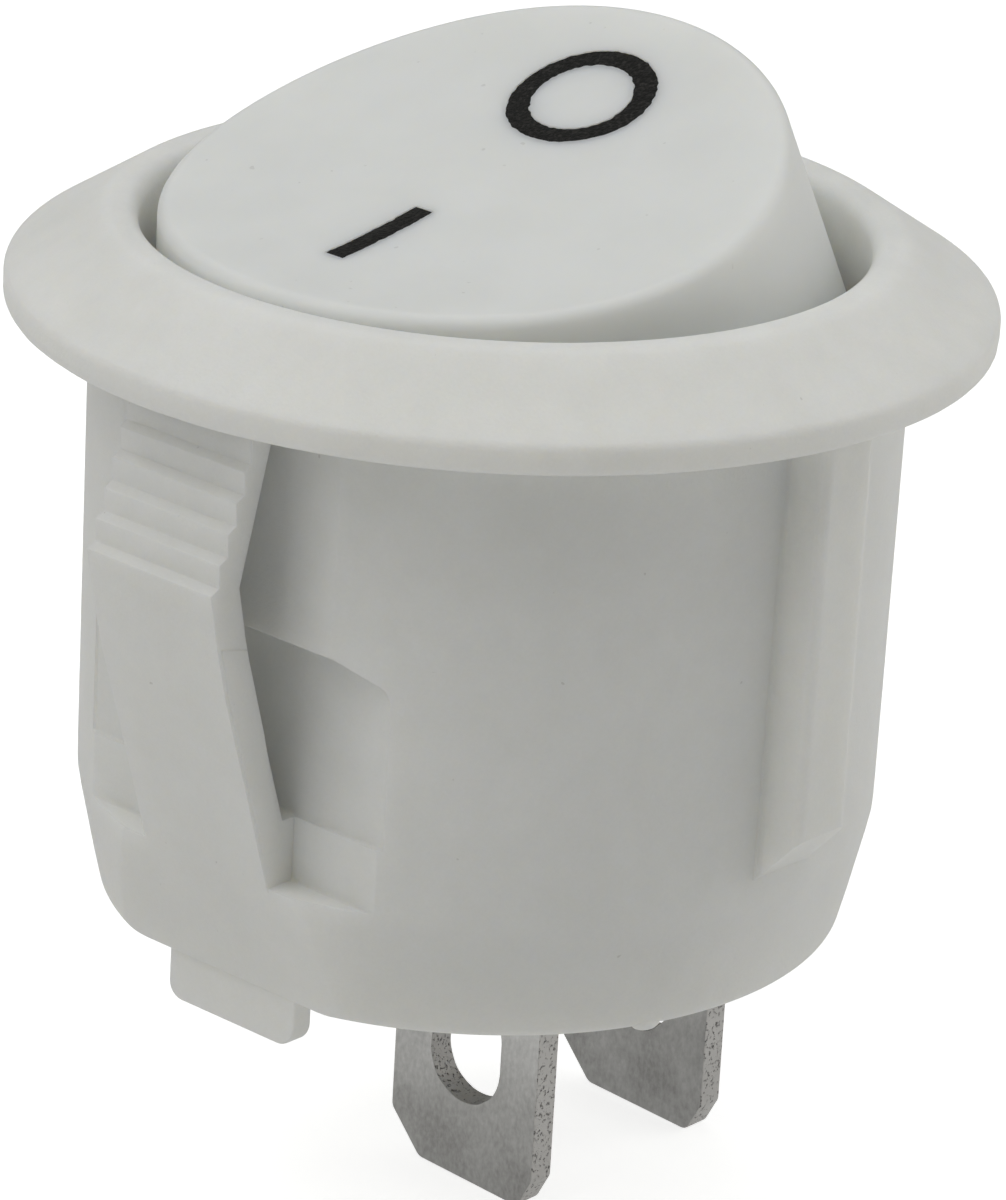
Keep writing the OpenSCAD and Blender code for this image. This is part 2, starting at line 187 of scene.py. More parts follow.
def round_bar(name, outline, around=48, along_y=False):
    """Solid of revolution of an outline of (radius, height) in millimetres, with its ends on the axis."""
    sections = [[Vector((r * math.cos(a), r * math.sin(a), z)) * 0.001 for r, z in outline]
                for a in (2 * math.pi * i / around for i in range(around))]
    first, last = (Vector((0, 0, outline[k][1])) * 0.001 for k in (0, -1))
    made = spun(name, sections, first, last)
    if along_y:
        made.data.transform(Matrix.Rotation(math.pi / 2, 4, "X"))
    return made


def prism(name, outline, low, high, axis, soft=0.0):
    """Outline in millimetres, drawn out from low to high along an axis, with its edges rounded."""
    order = {"X": (2, 0, 1), "Y": (0, 2, 1), "Z": (0, 1, 2)}[axis]
    mesh = bmesh.new()
    rings = [[mesh.verts.new(Vector([(u, v, w)[k] for k in order]) * 0.001) for u, v in outline]
             for w in (low, high)]
    for ring in rings:
        mesh.faces.new(ring)
    for i in range(len(outline)):
        k = (i + 1) % len(outline)
        mesh.faces.new((rings[0][i], rings[0][k], rings[1][k], rings[1][i]))
    bmesh.ops.recalc_face_normals(mesh, faces=mesh.faces)
    if soft:
        sharp = [edge for edge in mesh.edges if abs(edge.calc_face_angle()) > math.radians(12)]
        bmesh.ops.bevel(mesh, geom=sharp, offset=soft * 0.001, segments=3, profile=0.5, affect="EDGES",
                        clamp_overlap=True)
    return placed(name, mesh)


def box(name, low, high):
    base = [(low[0], low[1]), (high[0], low[1]), (high[0], high[1]), (low[0], high[1])]
    return prism(name, base, low[2], high[2], "Z")


def settle(piece):
    """Turns the result of a piece's modifiers into its plain mesh."""
    evaluated = piece.evaluated_get(bpy.context.evaluated_depsgraph_get())
    piece.data = bpy.data.meshes.new_from_object(evaluated)
    piece.modifiers.clear()


def merge(target, tool, operation):
    """Adds or cuts one closed mesh with another and deletes the tool."""
    boolean = target.modifiers.new(operation, "BOOLEAN")
    boolean.operation, boolean.solver, boolean.object = operation, "EXACT", tool
    settle(target)
    bpy.data.objects.remove(tool)


def both_sides(target, tool, operation):
    """Merges a tool drawn at the -X latch and a copy of it turned to the +X latch."""
    other = tool.copy()
    other.data = tool.data.copy()
    other.data.transform(Matrix.Rotation(math.pi, 4, "Z"))
    bpy.context.scene.collection.objects.link(other)
    merge(target, tool, operation)
    merge(target, other, operation)


def smooth_shaded(piece, angle):
    """Smooth shading that keeps flat faces flat and edges over the given angle sharp."""
    for face in piece.data.polygons:
        face.use_smooth = True
    piece.data.set_sharp_from_angle(angle=math.radians(angle))
    weights = piece.modifiers.new("weights", "WEIGHTED_NORMAL")
    weights.keep_sharp = True
    settle(piece)


def arc(centre, radius, first, last, count):
    """Points of an arc between two angles in degrees."""
    turns = [math.radians(first + (last - first) * i / count) for i in range(count + 1)]
    return [(centre[0] + radius * math.cos(a), centre[1] + radius * math.sin(a)) for a in turns]


bezel_r, well_r, well_floor, barrel_r, barrel_depth = 11.55, 8.48, -5.05, 9.56, 14.63
draft, draft_slope, taper_start, taper_angle = math.radians(0.3), 0.0052, 11.6, math.radians(12)
corner_r = 0.35
lip_r, lip_inner_r, lip_top, rim_r, rim_z, rim_foot_r = 0.64, 0.38, 2.125, 0.3, 0.52, 0.12
shell_spokes, rim_wander = 240, 0.03

# The slope between lip and rim is a line that touches both of their arcs.
lip_c, rim_c = (well_r + lip_r, 1.49), (bezel_r - rim_r, rim_z)
slope_angle = (math.atan2(lip_c[1] - rim_c[1], rim_c[0] - lip_c[0])
               + math.asin((lip_r - rim_r) / math.dist(lip_c, rim_c)))
slope = []
for t in (0.2, 0.4, 0.6, 0.8):
    stand_off = rim_r + (lip_r - rim_r) * t
    slope.append((rim_c[0] + (lip_c[0] - rim_c[0]) * t + stand_off * math.sin(slope_angle),
                  rim_c[1] + (lip_c[1] - rim_c[1]) * t + stand_off * math.cos(slope_angle)))
slope_turn = 90 - math.degrees(slope_angle)

# The barrel narrows softly below its drafted part, down to a rounded bottom edge.
taper_r, taper_slope = barrel_r - taper_start * math.tan(draft), math.tan(taper_angle)
corner_x = taper_r - corner_r * math.cos(taper_angle) - taper_slope * (
    barrel_depth - corner_r * (1 - math.sin(taper_angle)) - taper_start)
shell = [(r, -barrel_depth) for r in (2, 4, 6, 7.5)]
shell += arc((corner_x, corner_r - barrel_depth), corner_r, -90, -math.degrees(taper_angle), 8)
shell += [(taper_r - (d - 0.08) * taper_slope, -taper_start - d) for d in (2.0, 1.0, 0.5)]
shell += [(taper_r - step_in, -taper_start - d)
          for step_in, d in ((0.045, 0.25), (0.012, 0.08), (0.002, -0.1))]
shell += [(barrel_r - draft_slope * d, -d) for d in (11, 10, 8.5, 7, 5.5, 4, 2.5, 1.2, 0.5, 0.1)]
shell += [(barrel_r + 0.03, -0.03), (barrel_r + 0.1, 0), (10.2, 0), (11, 0), (bezel_r - rim_foot_r, 0),
          (bezel_r - 0.035, 0.035), (bezel_r, rim_foot_r), (bezel_r, 0.3)]
shell += arc(rim_c, rim_r, 0, slope_turn, 8) + slope + arc(lip_c, lip_r, slope_turn, 94, 10)
shell += arc((well_r + lip_inner_r, lip_top - lip_inner_r), lip_inner_r, 92, 180, 10)
shell += [(well_r, z) for z in (0.5, -1, -3, well_floor + 0.15)]
shell += [(r, well_floor) for r in (well_r - 0.15, 6, 3)]
sections = []
for i in range(shell_spokes):
    a = 2 * math.pi * i / shell_spokes
    way = Vector((math.cos(a), math.sin(a), 0))
    section = []
    for r, z in shell:
        if abs(z) < rim_foot_r + 0.01 and r > bezel_r - 0.25:
            r -= rim_wander * abs(noise.noise(way * 6 + Vector((0, 0, z * 9))))
        section.append((way * r + Vector((0, 0, z))) * 0.001)
    sections.append(section)
bottom_pole, floor_pole = (Vector((0, 0, z)) * 0.001 for z in (-barrel_depth, well_floor))
body = spun("moulded_housing", sections, bottom_pole, floor_pole)

# Behind each latch: a flat, a pocket of two depths with a gabled top, and the slanted root of the arm.
upper_flat, lower_flat, foot_flat, root_x, outside = 8.95, 8.25, 8.14, 9.14, 11
ridge_z, ridge_drop, ridge_y, pocket_y = -5.5, 0.35, 3.36, 4.64
ledge_z, seam_z, seam_step, mould_soft = -11.5, -9.93, 0.12, 0.07
eaves_z = ridge_z - ridge_drop
both_sides(body, box("flat_cut", (-outside, -8, eaves_z), (-upper_flat, 8, 0)), "DIFFERENCE")
gable = [(pocket_y, eaves_z - 0.5), (pocket_y - 0.12, eaves_z - 0.2), (pocket_y - 0.5, eaves_z),
         (ridge_y, ridge_z)]
gable += [(-y, z) for y, z in reversed(gable)]
for depth, pocket_z in ((lower_flat, seam_z), (lower_flat + seam_step, ledge_z)):
    pocket = [(-pocket_y, pocket_z), (pocket_y, pocket_z)] + gable
    both_sides(body, prism("pocket_cut", pocket, -outside, -depth, "X", mould_soft), "DIFFERENCE")
root = [(-root_x, ledge_z), (-outside, ledge_z), (-outside, -16), (-foot_flat, -16),
        (-foot_flat, -barrel_depth)]
both_sides(body, prism("root_cut", root, -8, 8, "Y"), "DIFFERENCE")

# The latch: a head with five soft steps over a bent arm that runs into the barrel.
latch_w, latch_reach, knee, knee_land, arm_t, head_top = 3.9, 11.37, 3.7, 0.15, 0.9, -0.25
first_step, step_count, step_rise, step_out, step_fall = 1, 5, 0.675, 0.23, 0.14
bite_x, ledge_x, top_bite_x = -10.19, -10.45, -10.27
bend = [(-latch_reach, -knee - knee_land), (-11.1, -5.15), (-10.77, -6.45), (-9.99, -8.9)]
latch = [(top_bite_x, head_top)]
for i in range(step_count):
    reach, depth = step_out * i, first_step + step_rise * i
    latch += [(bite_x - reach if i else top_bite_x, -depth), (ledge_x - reach, -depth - step_fall)]
latch += bend + [(-root_x - 0.04, ledge_z), (-root_x + 0.5, ledge_z - 1), (-root_x + 1, ledge_z - 1),
                 (1 - lower_flat, seam_z), (arm_t - 9.65, seam_z)]
latch += [(arm_t + x, z) for x, z in reversed(bend)] + [(arm_t + ledge_x, head_top)]
both_sides(body, prism("latch", latch, -latch_w / 2, latch_w / 2, "Y", mould_soft), "UNION")

# One half of the mould leaves the lower arm a hair wider than the head.
flank_y, flank_soft = latch_w / 2 + 0.03, 0.012
flank = [(-10.98, -5.2), (-10.67, -6.5), (-9.9, -8.95), (-9.35, -10.6),
         (-8.85, -10.6), (-9.06, -9.3), (-9.5, -7.6), (-10.17, -5.4)]
both_sides(body, prism("flank", flank, -flank_y, flank_y, "Y", flank_soft), "UNION")

# The key rib with its slanted foot, the locating foot, and the nub where the gate was cut off.
rib_y, rib_half, rib_soft, root_soft = -10.6, 0.875, 0.28, 0.1
rib = [(-1.1, -8.9)] + arc((-rib_half - root_soft, -9.6), root_soft, 90, 0, 4)
rib += arc((rib_soft - rib_half, rib_y + rib_soft), rib_soft, 180, 270, 6)
rib += [(-x, y) for x, y in reversed(rib)]
key_rib = prism("key_rib", rib, -12, 0.5, "Z")
rib_foot = [(-outside, -9.46), (-8, -12.74), (-8, -14), (-outside, -14)]
merge(key_rib, prism("rib_foot", rib_foot, -3, 3, "X"), "DIFFERENCE")
merge(body, key_rib, "UNION")
foot_end, foot_outer_x, foot_inner_x = -15.9, -8.07, -7.5
foot = [(-1.95, -14)] + arc((-1.4, foot_end + 0.55), 0.55, 180, 270, 8)
foot += arc((1.7, foot_end + 0.4), 0.4, 270, 360, 6) + [(2.1, -14)]
merge(body, prism("foot", foot, foot_outer_x, foot_inner_x, "X", 0.05), "UNION")
nub_place = Vector((-2.9, 0.46 - corner_x, 0.09 - barrel_depth)) * 0.001
nub = round_bar("gate_nub", arc((0, 0), 0.3, -75, 75, 8), 20)
nub.data.transform(Matrix.Translation(nub_place) @ Matrix.Diagonal((1.4, 1.0, 0.7, 1)))
merge(body, nub, "UNION")

# Cut inside: contact chamber, blind axle sockets, slots for the blades, recesses over the latch heads.
chamber_r, chamber_side, chamber_end = 8.46, 7.3, -12.43
socket_r, socket_reach, axle_z = 1.15, 9.1, -0.97
row_y, blade_w, blade_t, pitch, slot_gap = -0.5, 4.65, 0.7, 6.3, 0.03
rest_x, rest_z, rest_r, rest_half = -4.7, -9.445, 0.6, 1.8
side_turn = math.degrees(math.acos(chamber_side / chamber_r))
chamber = arc((0, 0), chamber_r, side_turn, 180 - side_turn, 40)
chamber += arc((0, 0), chamber_r, 180 + side_turn, 360 - side_turn, 40)
merge(body, prism("chamber", chamber, chamber_end, -4.9, "Z"), "DIFFERENCE")
sockets = round_bar("sockets", [(socket_r, -socket_reach), (socket_r, socket_reach)], 64, along_y=True)
sockets.data.transform(Matrix.Translation((0, 0, axle_z * 0.001)))
merge(body, sockets, "DIFFERENCE")
slot_x, slot_y = blade_t / 2 + slot_gap, blade_w / 2 + slot_gap
for x in (0, pitch):
    slot = box("slot", (x - slot_x, row_y - slot_y, -16), (x + slot_x, row_y + slot_y, -12))
    merge(body, slot, "DIFFERENCE")
both_sides(body, box("relief", (-10.91, -2.1, head_top / 2), (-9.43, 2.1, 0.3)), "DIFFERENCE")
post = [(rest_x - rest_r, -12.6)] + arc((rest_x, rest_z), rest_r, 180, 0, 12) + [(rest_x + rest_r, -12.6)]
merge(body, prism("rest_post", post, row_y - rest_half, row_y + rest_half, "Y"), "UNION")
smooth_shaded(body, 38)

nylon = Finish("nylon_off_white", Specular_IOR_Level=0.35, Subsurface_Weight=0.7,
               Subsurface_Radius=(0.0012, 0.0011, 0.0009), Subsurface_Scale=1.0)
flow = nylon.place.grain(0.0035, 3).step(0.3, 0.7)
cloud = nylon.place.grain(0.0009, 4, 0.6).step(0.25, 0.75)
sand = nylon.place.grain(0.00009, 3, 0.65)
speck = nylon.place.grain(0.00024, 1).step(0.80, 0.84)
clean = (flow * 0.3 + cloud * 0.2 + sand * 0.5).blend((0.790, 0.794, 0.768, 1), (0.880, 0.884, 0.862, 1))
nylon.set("Base Color", (speck * 0.4).blend(clean, (0.50, 0.49, 0.46, 1)))
nylon.set("Roughness", cloud * 0.10 + 0.50)
nylon.relief(sand * 1.4 + cloud * 0.6 + flow * 2.0, 0.000008, 1.0, edge=0.00005)
nylon.cover(body)
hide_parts("housing")
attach(body, "housing")


# Rocker. One moulding: a round cap with a hollow top face and a soft upper edge, hollow below,
# with a stem for the plunger, a web across and two axle stubs. The marks are sunk into its face.
hinge = next(j for j in frame["joints"] if j["name"] == "rocker_hinge")
tilt = math.radians(hinge["range_deg"][1]) / 2
level_to_rest = Matrix.Translation(Vector(hinge["pos_m"])) @ Matrix.Rotation(-tilt, 4, "Y")
top_r, base_r, waist, skirt, skirt_soft = 0.00719, 0.00819, -0.0002, -0.0013, 0.00012
face_h, hollow_r, cap_wall, soft_edge = 0.00445, 0.030, 0.0011, 0.00032
cone_h = face_h + hollow_r - math.sqrt(hollow_r * hollow_r - top_r * top_r) + 0.00003
rocker_spokes = 192


def face_height(x):
    """Height of the hollow top face above the axle, while the rocker stands level."""
    return face_h + hollow_r - math.sqrt(hollow_r * hollow_r - x * x)


def wall_radius(z):
    if z < waist:
        return base_r - 0.0001 * (waist - z) / (waist - skirt)
    return base_r - (z - waist) * (base_r - top_r) / (cone_h - waist)


def cap_profile(angle):
    """Radius and height along one spoke: top face, soft edge, wall, foot, inner wall, ceiling."""
    lean = math.cos(angle)
    edge = top_r
    for _ in range(8):
        edge = wall_radius(face_height(edge * lean))
    crest = face_height(edge * lean)
    rise = math.atan(edge * lean * lean / math.sqrt(hollow_r ** 2 - (edge * lean) ** 2))
    fall = math.atan((base_r - top_r) / (cone_h - waist))
    corner = math.pi / 2 - fall + rise          # turn of the normal from the face to the wall
    tangent = soft_edge * math.tan(corner / 2)
    start = Vector((edge - tangent * math.cos(rise), crest - tangent * math.sin(rise)))
    centre = Vector((start.x + soft_edge * math.sin(rise), start.y - soft_edge * math.cos(rise)))
    points = []
    for i in range(1, 26):
        r = start.x * i / 26
        points.append((r, face_height(r * lean)))
    for i in range(9):
        a = math.pi / 2 + rise - corner * i / 8
        points.append((centre.x + soft_edge * math.cos(a), centre.y + soft_edge * math.sin(a)))
    low = points[-1][1]
    for i in range(1, 7):
        z = low + (waist - low) * i / 6
        points.append((wall_radius(z), z))
    skirt_r = wall_radius(skirt)
    points += [(skirt_r, skirt + skirt_soft), (skirt_r - skirt_soft, skirt), (skirt_r - cap_wall, skirt)]
    inner_top = edge - cap_wall
    ceiling = face_height(inner_top * lean) - cap_wall
    for i in range(1, 5):
        z = skirt + (ceiling - skirt) * i / 4
        points.append((wall_radius(z) - cap_wall, z))
    for i in range(8, 0, -1):
        r = inner_top * i / 9
        points.append((r, face_height(r * lean) - cap_wall))
    return points


sections = []
for i in range(rocker_spokes):
    a = 2 * math.pi * i / rocker_spokes
    sections.append([Vector((r * math.cos(a), r * math.sin(a), z)) for r, z in cap_profile(a)])
rocker_cap = spun("rocker_cap", sections, Vector((0, 0, face_h)), Vector((0, 0, face_h - cap_wall)))
bore_r, bore_top, stem_r, stem_end, ceiling_z = 1.25, 2.3, 2, -4.6, 3.6
axle_r, axle_start, axle_end, axle_soft, web_half = 1.1, 7.4, 9, 0.1, 0.5
stem = round_bar("stem", [(bore_r, bore_top), (bore_r, stem_end), (stem_r, stem_end), (stem_r, ceiling_z)])
merge(rocker_cap, stem, "UNION")
stub = [(axle_r - axle_soft, axle_start), (axle_r, axle_start + axle_soft),
        (axle_r, axle_end - axle_soft), (axle_r - axle_soft, axle_end)]
for turn in (0, math.pi):
    axle = round_bar("axle_stub", stub, along_y=True)
    axle.data.transform(Matrix.Rotation(turn, 4, "Z"))
    merge(rocker_cap, axle, "UNION")
web = box("web", (-web_half, -axle_start, skirt * 1000), (web_half, axle_start, ceiling_z))
merge(web, round_bar("bore", [(bore_r, -6), (bore_r, bore_top)]), "DIFFERENCE")
merge(rocker_cap, web, "UNION")


# Marks. A ring for off and a bar for on are engraved 0.14 mm deep and filled with black paint,
# whose edge wanders a little where the paint has crept or chipped.
mark_depth = 0.00014
ring_x, ring_r, mark_line = 0.0038, 0.0018, 0.00056
bar_x, bar_half = -0.0032, 0.0015
ragged, above_face, paint_top = 0.00004, -0.0003, 0.00003


def ring_solid(name, top, bottom):
    """Ring that follows the rocker's face between two depths under it, with slightly ragged edges."""
    sections = []
    for i in range(180):
        a = 2 * math.pi * i / 180
        way = Vector((math.cos(a), math.sin(a), 0))
        inner, outer = (r + ragged * noise.noise(Vector((way.x * k, way.y * k, k)))
                        for r, k in ((ring_r - mark_line, 9), (ring_r, 11)))
        section = []
        for r, depth in ((inner, bottom), (outer, bottom), (outer, top), (inner, top)):
            x = ring_x + r * way.x
            section.append(Vector((x, r * way.y, face_height(x) - depth)))
        sections.append(section)
    return spun(name, sections)


def bar_solid(name, top, bottom):
    """Bar that follows the rocker's face between two depths under it, closed at both ends."""
    steps = 40
    mesh = bmesh.new()
    rows = []
    for i in range(steps + 1):
        x = bar_x - bar_half + 2 * bar_half * i / steps
        row = []
        for side, depth in ((-1, bottom), (1, bottom), (1, top), (-1, top)):
            half_w = mark_line / 2 + ragged * noise.noise(Vector((x * 5000, side * 5, 2)))
            row.append(mesh.verts.new((x, side * half_w, face_height(x) - depth)))
        rows.append(row)
    for here, there in zip(rows, rows[1:]):
        for j in range(4):
            k = (j + 1) % 4
            mesh.faces.new((here[j], there[j], there[k], here[k]))
    mesh.faces.new(rows[0])
    mesh.faces.new(rows[-1])
    return placed(name, mesh)


merge(rocker_cap, ring_solid("ring_cut", above_face, mark_depth), "DIFFERENCE")
merge(rocker_cap, bar_solid("bar_cut", above_face, mark_depth), "DIFFERENCE")
rocker_cap.data.transform(level_to_rest)
smooth_shaded(rocker_cap, 32)
satin = Finish("rocker_satin_white", Specular_IOR_Level=0.4, Subsurface_Weight=0.7,
               Subsurface_Radius=(0.0012, 0.0011, 0.0009), Subsurface_Scale=1.0)
haze = satin.place.grain(0.0022, 3).step(0.3, 0.7)
dust = satin.place.grain(0.00030, 1).step(0.77, 0.81)
satin_clean = haze.blend((0.812, 0.826, 0.806, 1), (0.836, 0.850, 0.830, 1))
satin.set("Base Color", (dust * 0.3).blend(satin_clean, (0.45, 0.45, 0.42, 1)))
satin.set("Roughness", haze * 0.08 + 0.44)
satin.relief(satin.place.grain(0.00014, 3, 0.6) * 0.5 + haze, 0.000005, 0.7)
satin.cover(rocker_cap)
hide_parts("rocker")
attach(rocker_cap, "rocker")

off_paint = ring_solid("off_mark_paint", paint_top, mark_depth)
on_paint = bar_solid("on_mark_paint", paint_top, mark_depth)
paint = Finish("black_mark_paint", Specular_IOR_Level=0.12)
worn = paint.place.grain(0.00010, 3, 0.7).step(0.45, 0.75)
paint.set("Base Color", worn.blend((0.005, 0.005, 0.004, 1), (0.050, 0.048, 0.045, 1)))
paint.set("Roughness", worn * 0.2 + 0.5)
paint.relief(paint.place.grain(0.00009, 3, 0.6), 0.00003, 1.0)
for mark, node in ((off_paint, "off_mark"), (on_paint, "on_mark")):
    mark.data.transform(level_to_rest)
    paint.cover(mark)
    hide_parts(node)
    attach(mark, "rocker")


# Plunger and spring. A smooth turned acetal pin rides in the rocker's stem, and a coil of drawn
# wire above it presses its round tip on the lever.
acetal = Finish("acetal_natural", Roughness=0.3)
acetal.set("Base Color", acetal.place.grain(0.0015).blend((0.70, 0.67, 0.58, 1), (0.75, 0.72, 0.63, 1)))
acetal.relief(acetal.place.grain(0.0002), 0.000004)
acetal.cover(frame["nodes"]["plunger"])
wire = Finish("drawn_wire", Metallic=1.0)
draw_marks = wire.place.grain(0.00008, 3)
wire.set("Base Color", draw_marks.blend((0.42, 0.42, 0.43, 1), (0.58, 0.58, 0.58, 1)))
wire.set("Roughness", draw_marks * 0.2 + 0.25)


def wound(name, finish, **sizes):
    """Coil of round wire, wound by a node tree and kept as a plain mesh."""
    tree = bpy.data.node_groups.new(name, "GeometryNodeTree")
    for label in sizes:
        tree.interface.new_socket(label, in_out="INPUT", socket_type="NodeSocketFloat")
    tree.interface.new_socket("finish", in_out="INPUT", socket_type="NodeSocketMaterial")
    tree.interface.new_socket("spring", in_out="OUTPUT", socket_type="NodeSocketGeometry")
    given, result = tree.nodes.new("NodeGroupInput"), tree.nodes.new("NodeGroupOutput")
    kinds = ("CurveSpiral", "CurvePrimitiveCircle", "CurveToMesh", "SetShadeSmooth", "SetMaterial")
    spiral, circle, sweep, soften, colour = (tree.nodes.new("GeometryNode" + kind) for kind in kinds)
    spiral.inputs["Resolution"].default_value = 40
    circle.inputs["Resolution"].default_value = 14
    sweep.inputs["Fill Caps"].default_value = True
    for start, end in ((given.outputs["coil_radius"], spiral.inputs["Start Radius"]),
                       (given.outputs["coil_radius"], spiral.inputs["End Radius"]),
                       (given.outputs["turns"], spiral.inputs["Rotations"]),
                       (given.outputs["height"], spiral.inputs["Height"]),
                       (given.outputs["wire_radius"], circle.inputs["Radius"]),
                       (spiral.outputs["Curve"], sweep.inputs["Curve"]),
                       (circle.outputs["Curve"], sweep.inputs["Profile Curve"]),
                       (sweep.outputs["Mesh"], soften.inputs["Geometry"]),
                       (soften.outputs["Geometry"], colour.inputs["Geometry"]),
                       (given.outputs["finish"], colour.inputs["Material"]),
                       (colour.outputs["Geometry"], result.inputs["spring"])):
        tree.links.new(start, end)
    made = bpy.data.objects.new(name, bpy.data.meshes.new(name))
    bpy.context.scene.collection.objects.link(made)
    modifier = made.modifiers.new(name, "NODES")
    modifier.node_group = tree
    for item in tree.interface.items_tree:
        if item.in_out == "INPUT":
            modifier[item.identifier] = finish.material if item.name == "finish" else sizes[item.name]
    settle(made)
    return made


coil_low, coil_high, coil_r, wire_r, travel = -0.00243, 0.00213, 0.00097, 0.00016, 0.0008
coil = wound("coil_spring", wire, coil_radius=coil_r, wire_radius=wire_r, turns=6.0,
             height=coil_high - coil_low)
coil.data.transform(level_to_rest @ Matrix.Translation((0, 0, coil_low)))
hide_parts("plunger_spring")
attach(coil, "rocker")
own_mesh(coil)


# Lever and contacts. A bent brass strip rocks on the middle blade and carries a domed silver rivet,
# which closes on the flat rivet of the end blade's shelf.
brass = Finish("strip_brass", Metallic=1.0)
tarnish = brass.place.grain(0.0011, 4, 0.6)
brass.set("Base Color", tarnish.blend((0.62, 0.43, 0.17, 1), (0.74, 0.55, 0.26, 1)))
brass.set("Roughness", tarnish * 0.25 + 0.22)
brass.relief(brass.place.grain(0.00012, 3), 0.000004, edge=0.00006)
brass.cover(frame["nodes"]["lever"])
silver = Finish("rivet_silver", Metallic=1.0)
scuff = silver.place.grain(0.0004, 4, 0.6)
silver.set("Base Color", scuff.blend((0.60, 0.59, 0.56, 1), (0.78, 0.77, 0.74, 1)))
silver.set("Roughness", scuff * 0.3 + 0.2)
silver.relief(scuff, 0.000008, edge=0.00005)
silver.cover(frame["nodes"]["moving_contact"], frame["nodes"]["fixed_contact"])


# Blade terminals. Stamped from tinned brass strip: dull grey rolled faces that darken to the tips,
# and darker pitted edges where the press sheared them. The middle one ends in the lever's pivot,
# the end one is folded over into the shelf under the fixed contact.
def rounded(corners, radius):
    """Outline whose corners are rounded."""
    points = []
    for i, corner in enumerate(corners):
        here = Vector(corner)
        back = (Vector(corners[i - 1]) - here).normalized()
        ahead = (Vector(corners[(i + 1) % len(corners)]) - here).normalized()
        half = back.angle(ahead) / 2
        centre = here + (back + ahead).normalized() * radius / math.sin(half)
        for k in range(6):
            chord = here + (back.lerp(ahead, k / 5)) * radius / math.tan(half)
            points.append(tuple(centre + (chord - centre).normalized() * radius))
    return points


blade_tip, blade_half, tip_slant, tip_soft, press_soft = -22.35, blade_w / 2, 0.15, 0.28, 0.04
rib_bevel, latch_bevel = (0.42, 0.8), (0.96, 1.2)
slot_low, slot_high, slot_r, slot_ragged = -19.1, -18.3, 1.12, 0.04


def blade(name, x, top):
    """Flat blade with a bevelled tip, rounded corners and a solder slot."""
    left, right = row_y + blade_half, row_y - blade_half
    tip = rounded([(right, top - 1), (right, blade_tip + rib_bevel[1]), (right + rib_bevel[0], blade_tip),
                   (left - latch_bevel[0], blade_tip + tip_slant), (left, blade_tip + latch_bevel[1]),
                   (left, top - 1)], tip_soft)
    outline = [(right, top)] + tip[6:-6] + [(left, top)]
    made = prism(name, outline, x - blade_t / 2, x + blade_t / 2, "X", press_soft)
    slot = arc((row_y, slot_low), slot_r, 180, 360, 32) + arc((row_y, slot_high), slot_r, 0, 180, 32)
    slot = [(y + slot_ragged * noise.noise(Vector((y, z, x)) * 2.3), z) for y, z in slot]
    merge(made, prism("solder_slot", slot, x - 1, x + 1, "X"), "DIFFERENCE")
    return made


pivot_z, pivot_half, pivot_r, ear_top = -9.35, 1.95, blade_t / 2 - 0.001, -8.3
common = blade("middle_blade", 0, ear_top)
gap = box("pivot_gap", (-1, row_y - pivot_half, pivot_z), (1, row_y + pivot_half, ear_top + 0.3))
merge(common, gap, "DIFFERENCE")
pivot = round_bar("pivot", [(pivot_r, -pivot_half - 0.02), (pivot_r, pivot_half + 0.02)], 32, along_y=True)
pivot.data.transform(Matrix.Translation(Vector((0, row_y, pivot_z)) * 0.001))
merge(common, pivot, "UNION")

shelf_in, shelf_z, fold_r, fold_foot, end_top, contact_x, shank_r = 3.7, -9.783, 0.3, -11.6, -11.5, 5, 0.46
fold_c = (pitch - blade_t / 2 - fold_r, shelf_z - blade_t - fold_r)
end = blade("end_blade", pitch, end_top)
fold = [(shelf_in, shelf_z), (fold_c[0], shelf_z)] + arc(fold_c, fold_r + blade_t, 85, 0, 10)
fold += [(pitch + blade_t / 2, fold_foot), (pitch - blade_t / 2, fold_foot)] + arc(fold_c, fold_r, 0, 90, 6)
fold += [(shelf_in, shelf_z - blade_t)]
merge(end, prism("fold", fold, row_y - blade_half, row_y + blade_half, "Y", press_soft), "UNION")
shank = round_bar("shank_hole", [(shank_r, -11), (shank_r, -9)], 32)
shank.data.transform(Matrix.Translation(Vector((contact_x, row_y, 0)) * 0.001))
merge(end, shank, "DIFFERENCE")

# Sheared are the faces that look along Y and, under the fold, all that don't look along X.
tin = Finish("tinned_blade", Metallic=1.0)
facing = tin.place.node("TexCoord", out=1)
side_on = facing.node("VectorMath", {"operation": "ABSOLUTE"}, {0: facing})
below = tin.place.part(2).step(-0.0113, -0.0116)
sheared = ((1 - side_on.part(0)) * below + side_on.part(1)).step(0.35, 0.65)
drawn_out = tin.place.node("VectorMath", {"operation": "MULTIPLY"}, {0: tin.place, 1: (1, 1, 0.6)})
rolled = drawn_out.grain(0.00012, 3, 0.6)
bloom = tin.place.grain(0.0016, 4, 0.6).step(0.25, 0.75)
pit = tin.place.grain(0.00010, 3, 0.7).step(0.54, 0.66)
# The blades' faces are darker towards their tips and lighter higher up.
lighter_up_blade = tin.place.part(2).step(-0.0215, -0.0155)
plated = (bloom * 0.2 + rolled * 0.4 + lighter_up_blade * 0.4).blend((0.19, 0.185, 0.175, 1), (0.84, 0.84, 0.83, 1))
cut_face = pit.blend((0.52, 0.51, 0.495, 1), (0.17, 0.165, 0.16, 1))
tin.set("Base Color", sheared.blend(plated, cut_face))
tin.set("Roughness", sheared * 0.12 + bloom * 0.08 + 0.42)
tin.relief(sheared * pit * -3.0 + rolled * 0.5 + bloom, 0.00001, 1.0, edge=0.00004)
tin.cover(common, end)
for terminal, node in ((common, "common_terminal"), (end, "end_terminal")):
    smooth_shaded(terminal, 30)
    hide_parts(node)
    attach(terminal, "housing")


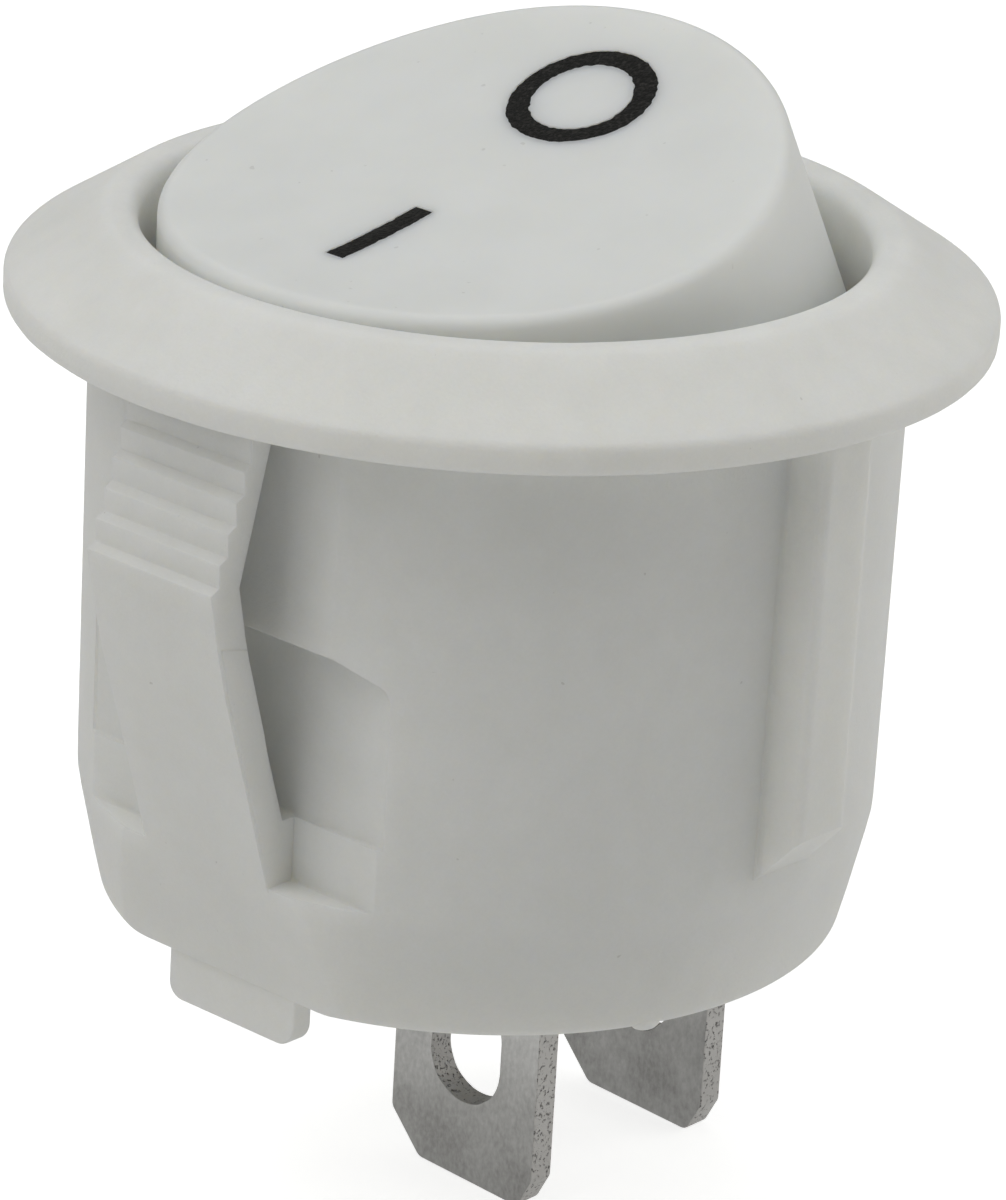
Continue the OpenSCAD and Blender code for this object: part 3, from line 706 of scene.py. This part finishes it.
# Studio. The switch stands on its blade tips on a plain pale floor. A large softbox hangs over it,
# warmer ones stand high and low at both sides, and weak ones fill in from the front and the back.
lowest, floor_half = cad_box[0].z, 3
corners = [(-1, -1), (1, -1), (1, 1), (-1, 1)]
floor_mesh = bpy.data.meshes.new("floor")
floor_mesh.from_pydata([(x * floor_half, y * floor_half, lowest) for x, y in corners], [], [(0, 1, 2, 3)])
floor = bpy.data.objects.new("floor", floor_mesh)
bpy.context.scene.collection.objects.link(floor)
paper = bpy.data.materials.new("white_paper")
paper.use_nodes = True
paper_tree = paper.node_tree
paper_bsdf = paper_tree.nodes["Principled BSDF"]
paper_bsdf.inputs["Base Color"].default_value = (0.62, 0.62, 0.61, 1)
paper_bsdf.inputs["Roughness"].default_value = 0.9
paper_bsdf.inputs["Specular IOR Level"].default_value = 0
rays = Wire(paper_tree, paper_tree.nodes.new("ShaderNodeLightPath").outputs["Is Camera Ray"])
glossy_rays = Wire(paper_tree, rays.socket.node.outputs["Is Glossy Ray"])
glow = rays * 0.62 + glossy_rays * 0.3 + 0.13
paper_tree.links.new(glow.socket, paper_bsdf.inputs["Emission Strength"])
paper_bsdf.inputs["Emission Color"].default_value = (1, 1, 1, 1)
floor.data.materials.append(paper)

world = bpy.data.worlds.new("studio")
bpy.context.scene.world = world
world.use_nodes = True
sky = world.node_tree.nodes["Background"]
sky.inputs["Color"].default_value = (1, 1, 1, 1)
path = Wire(world.node_tree, world.node_tree.nodes.new("ShaderNodeLightPath").outputs["Is Camera Ray"])
world.node_tree.links.new((path * 0.93 + 0.07).socket, sky.inputs["Strength"])


def softbox(name, place, width, height, watts, colour):
    """Area lamp that faces the switch."""
    lamp = bpy.data.objects.new(name, bpy.data.lights.new(name, "AREA"))
    lamp.data.shape, lamp.data.size, lamp.data.size_y = "RECTANGLE", width, height
    lamp.data.energy, lamp.data.color = watts, colour
    turn = (middle - Vector(place)).to_track_quat("-Z", "Y").to_matrix().to_4x4()
    lamp.matrix_world = Matrix.Translation(place) @ turn
    bpy.context.scene.collection.objects.link(lamp)


middle, cool, warm = Vector((0, 0, -0.005)), (0.985, 1.0, 1.0), (1.0, 0.985, 0.955)
softbox("overhead", (0, 0.02, 0.45), 0.6, 0.6, 1.13, cool)
softbox("left_high", (-0.32, 0.10, 0.30), 0.35, 0.35, 0.62, warm)
softbox("right_high", (0.15, -0.33, 0.28), 0.3, 0.3, 0.21, warm)
softbox("right_low", (0.30, -0.18, 0.04), 0.15, 0.35, 0.36, warm)
softbox("front_low", (-0.26, -0.26, 0), 0.3, 0.2, 0.05, warm)
softbox("back_high", (0.1, 0.35, 0.3), 0.4, 0.4, 0.17, cool)

bpy.context.scene.view_settings.view_transform = "Standard"
